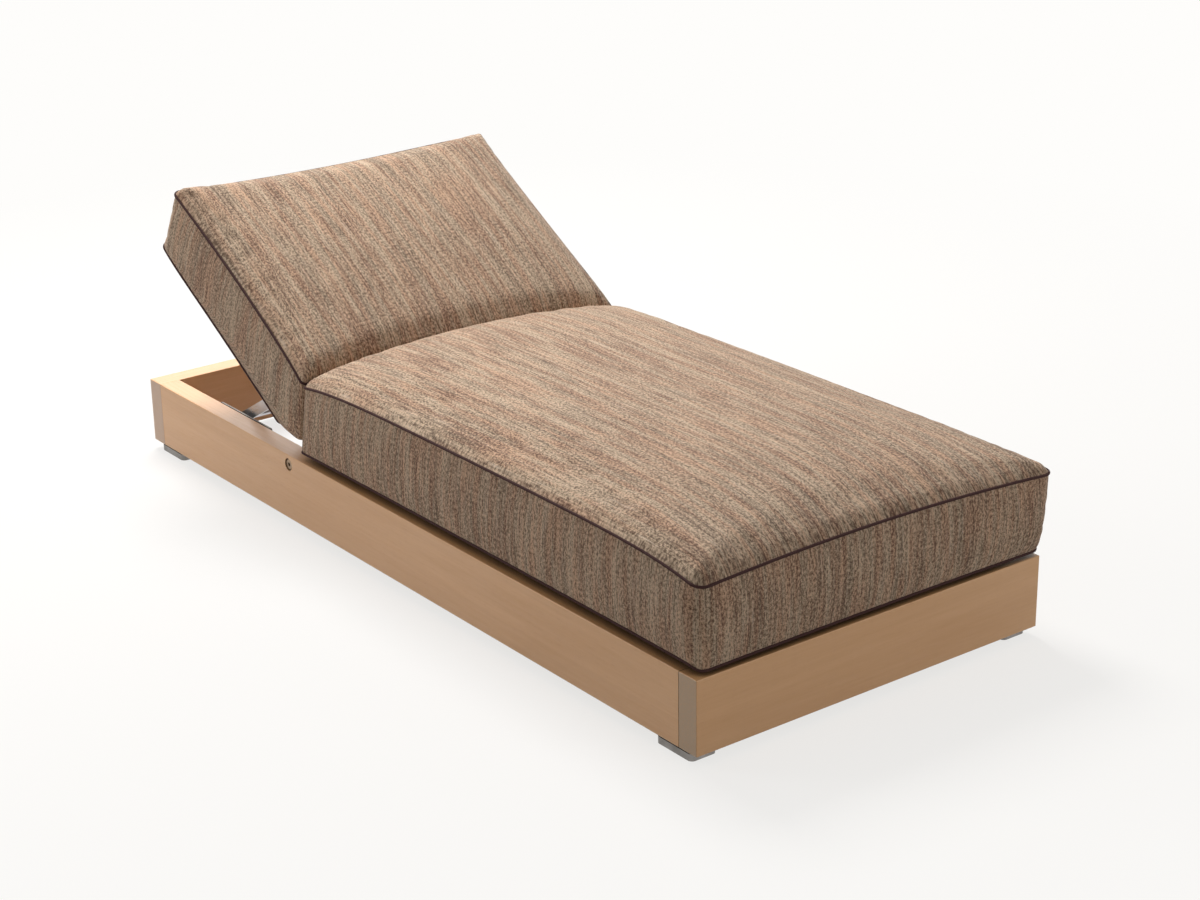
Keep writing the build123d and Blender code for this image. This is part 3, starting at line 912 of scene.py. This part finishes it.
def seat_settled(places):
    """Domes the top, bows the sides up, and lets the rear corners and what overhangs the slats sink.

    The front right corner is loose and stands out, the rear right one is pressed down by the backrest
    cushion. x and y go from -1 to 1 across and along the cushion, and share from 0 below to 1 at the seam.
    """
    middle, half = (seat_from.y + seat_to.y) / 2, (seat_to.y - seat_from.y) / 2
    x = np.clip(places[:, 0] / seat_half, -1, 1)
    y = np.clip((places[:, 1] - middle) / half, -1, 1)
    share = np.clip((places[:, 2] - seat_low) / seat_boxing, 0, 1)
    above = np.clip(places[:, 2] - seat_seam, 0, None)
    to_rear, to_front = np.clip(y, 0, 1), np.clip(-y, 0, 1)
    rear = ((1 + y) / 2) ** 3
    bow = ((left_bow + right_bow) / 2 - (left_bow - right_bow) / 2 * x) * (1 - y**6)
    bow += (1 - x * x) * (rear_bow * to_rear**4 + front_bow * to_front**4)
    pillow = pillow_rise * (1 - x * x) * dome(1 + y, pillow_slope_share)
    sink = (side_sink * x * x + right_sink * ((1 + x) / 2) ** 2) * rear + front_sink * to_front**6
    past_front = np.clip((-y - front_slats_share) / (full_droop_share - front_slats_share), 0, 1) ** 2
    past_side = np.clip((abs(x) - side_slats_share) / (full_droop_share - side_slats_share), 0, 1) ** 2
    loose = corner_share(x, -y, 4, 6)
    pressed = corner_share(x, y, 4, 8)
    near = corner_share(-x, y, 4, 8)
    dropped = loose_corner_drop * loose + pressed_corner_drop * pressed
    flattened = loose_flattening * loose + pressed_flattening * pressed + near_flattening * near
    stood_out = loose_foot_out + loose_belly_out * (1 - (1 - share) ** 6) - loose_seam_back * share
    settled = places.copy()
    settled[:, 2] += share * (bow + pillow - sink - dropped) - above * flattened
    settled[:, 2] -= (1 - share) * np.maximum(front_droop * past_front, side_droop * past_side)
    settled[:, 0] += stood_out * loose
    settled[:, 1] -= share * (loose_forward * loose + meeting_lean * pillow * to_rear**8)
    return settled


put_places(seat_cushion, seat_settled(places_of(seat_cushion)))
dress(seat_cushion, seat_cloth)
smooth = seat_cushion.modifiers.new("smooth", "SUBSURF")
smooth.levels = smooth.render_levels = 1
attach(seat_cushion, "base")
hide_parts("seat_cushion")


# The seat cushion's piping: a cord in a bias-cut sleeve of dark plum-brown cloth, sewn in all round the
# top and the bottom seam.
piping_radius = 0.0028
piping_sides = 10


def cord_round(points, radius, sides):
    """A closed round cord along points: its own points, faces, and the way round and along it."""
    points = np.asarray(points)
    along = np.roll(points, -1, 0) - np.roll(points, 1, 0)
    along /= np.linalg.norm(along, axis=1, keepdims=True)
    middle = points.mean(0)
    outward = points - middle
    outward -= (outward * along).sum(1, keepdims=True) * along
    outward /= np.linalg.norm(outward, axis=1, keepdims=True)
    upward = np.cross(along, outward)
    steps = np.linalg.norm(np.roll(points, -1, 0) - points, axis=1)
    run = np.concatenate([[0], np.cumsum(steps)])
    places, faces, cloth = [], [], []
    for side in range(sides):
        angle = 2 * math.pi * side / sides
        places.append(points + radius * (math.cos(angle) * outward + math.sin(angle) * upward))
    places = np.concatenate(places)
    count = len(points)
    for side in range(sides):
        after = (side + 1) % sides
        for i in range(count):
            k = (i + 1) % count
            faces.append((side * count + i, side * count + k, after * count + k, after * count + i))
            for s, at in ((side, run[i]), (side, run[i + 1]), (side + 1, run[i + 1]), (side + 1, run[i])):
                cloth.append((s / sides * 2 * math.pi * radius, at, 0.0))
    return places, faces, cloth


def piping(name, cushion, shell):
    """The cords along both seams of a cushion, as one piece."""
    at = places_of(cushion)
    places, faces, cloth = [], [], []
    for ring in (shell.levels_round[0], shell.levels_round[-1]):
        seam = at[[int(n) for n in ring]]
        made, quads, ways = cord_round(seam, piping_radius, piping_sides)
        first = sum(len(p) for p in places)
        places.append(made)
        faces += [tuple(first + n for n in quad) for quad in quads]
        cloth += ways
    return cloth_piece(name, np.concatenate(places), faces, cloth)


bias, given, out = new_group(
    "bias cloth",
    {"Cloth Way": "Vector", "Tint": "Color", "Highlight": "Color"},
    {"Color": "Color", "Roughness": "Float", "Height": "Float"},
)
turned = add_node(
    bias,
    "ShaderNodeVectorRotate",
    {"Vector": given.outputs["Cloth Way"], "Angle": math.radians(45)},
    rotation_type="Z_AXIS",
).outputs[0]
twill_scale, fuzz_scale = 260.0, 1400
twill_share, fuzz_share = 0.55, 0.45
twill = add_node(
    bias, "ShaderNodeTexWave", {"Vector": turned, "Scale": twill_scale, "Distortion": 0.6}, wave_type="BANDS"
).outputs["Fac"]
fuzz = noise(bias, given.outputs["Cloth Way"], fuzz_scale, 2)
paleness = calc(bias, "MULTIPLY", twill, twill_share)
paleness = calc(bias, "ADD", paleness, calc(bias, "MULTIPLY", fuzz, fuzz_share))
paleness = ranged(bias, paleness, 0.2, 0.9)
bias_colour = mixed(bias, paleness, given.outputs["Tint"], given.outputs["Highlight"])
bias.links.new(bias_colour, out.inputs["Color"])
bias.links.new(ranged(bias, fuzz, 0.3, 0.7, 0.65, 0.85), out.inputs["Roughness"])
bias.links.new(twill, out.inputs["Height"])

twill_depth = 0.0003
piping_cloth, tree, shader = new_material("piping_cloth", Specular_IOR_Level=0.2)
way = add_node(tree, "ShaderNodeAttribute", attribute_name="cloth_way")
made = group_in(
    tree,
    bias,
    {"Cloth Way": way.outputs["Vector"], "Tint": colour(54, 32, 31), "Highlight": colour(86, 57, 54)},
)
wired(tree, shader, made, twill_depth)

seat_piping = piping("seat_cushion_piping_cord", seat_cushion, seat_shell)
dress(seat_piping, piping_cloth)
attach(seat_piping, "base")
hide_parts("seat_cushion_piping")


# The backrest cushion: the same foam, cloth and piping. It lies on the backrest slats, and its lower
# end stands upright against the seat cushion.
back_half = seat_half
back_low = 0.0403
back_boxing = 0.172
back_seam = back_low + back_boxing
nose_rise = 0.032
nose_start = 0.085
back_length = 0.642
back_foot_corner, back_head_corner = 0.011, 0.017
back_crown = 0.012
back_swelling = 0.009
meeting_gap = 0.0006


def back_near(height):
    """Where the upright meeting face lies along the backrest, with a bevel below the nose."""
    sine, cosine = math.sin(rest_angle), math.cos(rest_angle)
    start = meeting_middle + Vector((0, meeting_gap, 0)) - hinge_place
    upright = start.y + meeting_lean * start.z + height * (sine - meeting_lean * cosine)
    upright /= cosine + meeting_lean * sine
    below = np.clip((back_low + nose_rise - height) / nose_rise, 0, 1)
    return upright * (1 - below) + nose_start * below


def back_far(height):
    """Where the head end of the cushion stands."""
    return back_length


back_cloth = melange_material("back_cover_cloth")
back_shell = CushionShell(
    back_half, back_near, back_far, back_foot_corner, back_head_corner, back_low, back_seam, back_crown
)
back_cushion = cloth_piece("backrest_cushion_cover", back_shell.points, back_shell.faces, back_shell.cloth)
front_wall_deep = 0.012
front_wall = [
    n
    for n, (_, along, height) in enumerate(back_shell.points)
    if along < back_near(height) + front_wall_deep and height <= back_seam + hair
]
back_held = set(back_shell.bottom.ravel()) | set(back_shell.levels_round[-1]) | set(front_wall)
swell(back_cushion, back_held, back_swelling)


back_bow = 0.007
head_sag, foot_corner_sag = 0.006, 0.006
far_side_drop, far_head_drop = 0.009, 0.003
far_side_draw, far_middle_draw = 0.014, 0.007
head_lift, side_lift, head_draw = 0.011, 0.004, 0.008
pinched_flattening = 0.45


def back_settled(places):
    """Bows the long seams up, draws the head end's and the far side's seam down and in, and thins that end.

    x, y and share are as in seat_settled, with y from the foot end of this cushion to its head end.
    """
    near, far = back_near(back_seam), back_length
    x = np.clip(places[:, 0] / back_half, -1, 1)
    y = np.clip((2 * places[:, 1] - near - far) / (far - near), -1, 1)
    share = np.clip((places[:, 2] - back_low) / back_boxing, 0, 1)
    above = np.clip(places[:, 2] - back_seam, 0, None)
    head_end = np.clip(y, 0, 1) ** 6
    foot_corner = x * x * np.clip(-y, 0, 1) ** 6
    far_side = np.clip(x, 0, 1) ** 5
    pinched = corner_share(x, -y, 6, 6)
    sagged = head_sag * (1 - x * x) * head_end + foot_corner_sag * foot_corner
    dropped = (far_side_drop + far_head_drop * head_end) * far_side
    settled = places.copy()
    settled[:, 2] += share * (back_bow * (1 - y * y) - sagged - dropped)
    settled[:, 2] -= pinched_flattening * above * pinched
    settled[:, 2] += (1 - share) * (head_lift * head_end + side_lift * x**6)
    settled[:, 1] -= share * head_draw * (1 - x * x) * head_end
    settled[:, 0] -= share * (far_side_draw + far_middle_draw * (1 - y * y)) * far_side
    return settled


put_places(back_cushion, back_settled(places_of(back_cushion)))
back_piping = piping("backrest_cushion_piping_cord", back_cushion, back_shell)
for piece, cloth, slot, node in (
    (back_cushion, back_cloth, "cushion_fabric", "backrest_cushion"),
    (back_piping, piping_cloth, "piping_fabric", "backrest_cushion_piping"),
):
    piece.data.transform(incline)
    dress(piece, cloth)
    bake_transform(piece)
    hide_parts(node)
smooth = back_cushion.modifiers.new("smooth", "SUBSURF")
smooth.levels = smooth.render_levels = 1
